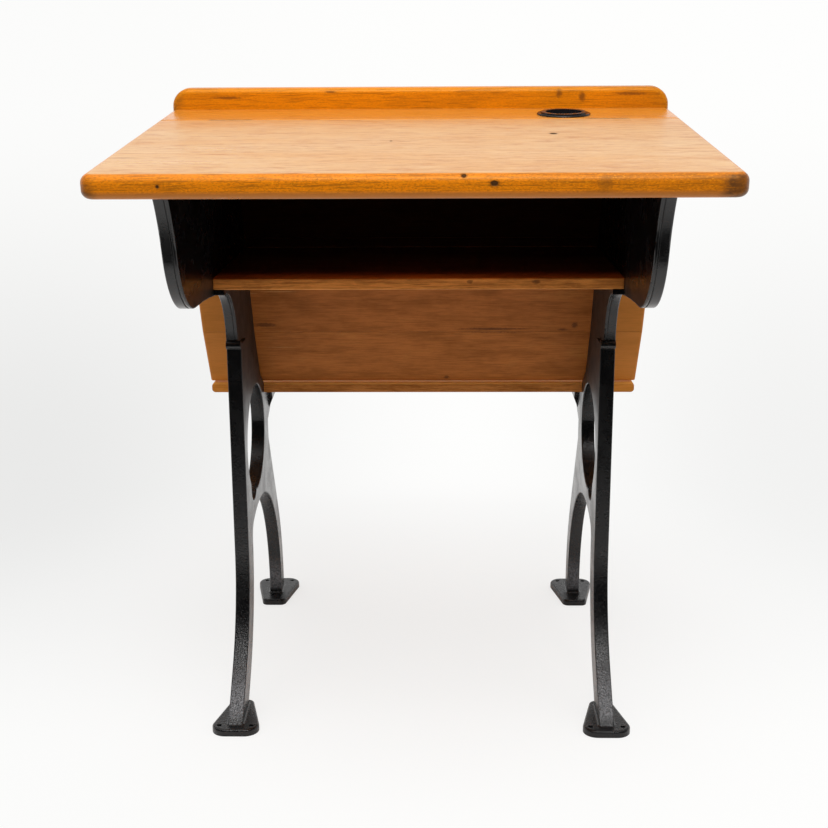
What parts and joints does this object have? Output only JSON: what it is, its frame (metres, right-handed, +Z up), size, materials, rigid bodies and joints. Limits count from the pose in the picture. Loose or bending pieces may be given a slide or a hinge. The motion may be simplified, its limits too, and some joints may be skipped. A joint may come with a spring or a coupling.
{
  "type": "school desk",
  "caption": "Cast-iron and wood school desk with sloping lift lid, inkwell, open book box and a folding seat on its back",
  "frame": {"origin": "centre of the bounding box's bottom, on the floor midway between the standards", "axes": "+Y from the pupil's side of the desk top to the folding seat, +X to the pupil's right, +Z up"},
  "size_m": [0.62, 0.957, 0.8074],
  "materials": {
    "black_iron": "black gloss paint over a fine cast skin",
    "top_wood": "amber varnish, worn, with a sheen",
    "board_wood": "brown varnish, older and duller",
    "steel": "dark, dull screws and bolts",
    "hinge_brass": "dark old brass",
    "ring_iron": "black gloss paint",
    "cup_black": "black, glossy"
  },
  "bodies": {
    "frame": {"left_standard": "black_iron", "right_standard": "black_iron", "rear_strip": "top_wood", "back_rail": "top_wood", "back_upper_board": "board_wood", "back_middle_board": "board_wood", "back_lower_board": "board_wood", "shelf": "board_wood", "seat_rail": "board_wood", "left_seat_pivot": "steel", "right_seat_pivot": "steel", "left_pivot_nut": "steel", "right_pivot_nut": "steel", "left_pivot_washer": "steel", "right_pivot_washer": "steel", "strip_screws": "steel", "shelf_screws": "steel", "rail_screws": "steel", "seat_rail_screws": "steel", "back_upper_screws": "steel", "back_middle_screws": "steel", "back_lower_screws": "steel", "left_hinge_strip_leaf": "hinge_brass", "left_hinge_pin": "hinge_brass", "right_hinge_strip_leaf": "hinge_brass", "right_hinge_pin": "hinge_brass", "strip_hinge_screws": "hinge_brass", "inkwell_ring": "ring_iron"},
    "lid": {"lid": "top_wood", "left_batten": "board_wood", "right_batten": "board_wood", "batten_screws": "steel", "left_hinge_lid_leaf": "hinge_brass", "right_hinge_lid_leaf": "hinge_brass", "lid_hinge_screws": "hinge_brass"},
    "inkwell": {"inkwell_cup": "cup_black"},
    "seat": {"seat_rear_board": "board_wood", "seat_middle_board": "board_wood", "seat_front_board": "board_wood", "left_seat_arm": "black_iron", "right_seat_arm": "black_iron", "seat_screws": "steel"}
  },
  "joints": [
    {"name": "lid_hinge", "type": "hinge", "parent": "frame", "child": "lid", "pos_m": [0, -0.11074, 0.76952], "axis": [-1, 0, 0], "range_deg": [0, 85]},
    {"name": "seat_hinge", "type": "hinge", "parent": "frame", "child": "seat", "pos_m": [0, 0.2185, 0.382], "axis": [1, 0, 0], "range_deg": [0, 98]},
    {"name": "inkwell_lift", "type": "slide", "parent": "frame", "child": "inkwell", "axis": [0, -0.0946, 0.9955], "range_m": [0, 0.06]}
  ]
}
